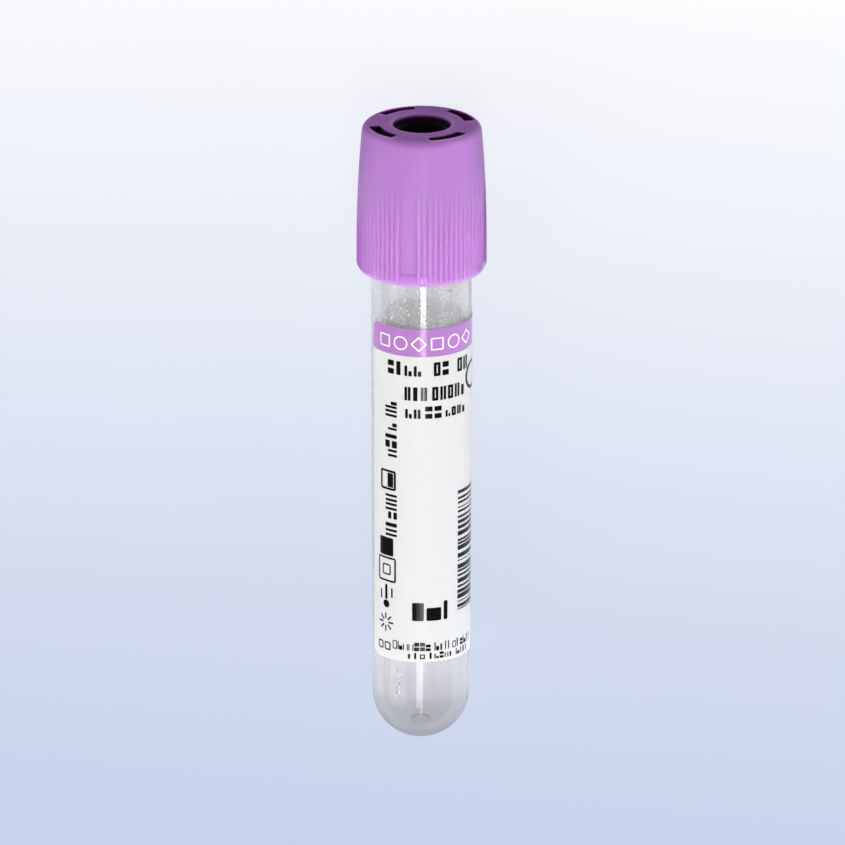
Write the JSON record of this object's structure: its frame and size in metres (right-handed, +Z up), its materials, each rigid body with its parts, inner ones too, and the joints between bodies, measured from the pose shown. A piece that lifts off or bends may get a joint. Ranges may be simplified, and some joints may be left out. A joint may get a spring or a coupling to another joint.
{
  "type": "blood collection tube",
  "caption": "Clear round-bottomed blood collection tube lying on its side, with a wrapped white label, a rubber stopper and a ribbed lavender safety cap with a needle hole.",
  "frame": {"origin": "on the surface the tube lies on, under the middle of its length and of its width", "axes": "+Y along the tube towards the cap, +Z up, +X to the right seen from above with the cap away from the viewer; the tube's own axis rises towards the cap by about 1.9 degrees, because the cap is wider than the tube"},
  "size_m": [0.0164, 0.0828, 0.0166],
  "materials": {
    "clear_plastic": "clear polished moulded polyester",
    "label_film": "smooth white film with a lavender band",
    "black_rubber": "smooth moulded halobutyl rubber",
    "lavender_plastic": "satin moulded polyethylene"
  },
  "bodies": {
    "tube": {"tube": "clear_plastic", "label": "label_film"},
    "stopper": {"stopper": "black_rubber"},
    "cap": {"cap": "lavender_plastic"}
  },
  "joints": [
    {"name": "closure_pull", "type": "slide", "parent": "tube", "child": "stopper", "axis": [0, 0.9994, 0.0341], "range_m": [0, 0.026]},
    {"name": "cap_turn", "type": "hinge", "parent": "stopper", "child": "cap", "pos_m": [0, 0.03348, 0.00853], "axis": [0, 0.9994, 0.0341], "continuous": true}
  ]
}
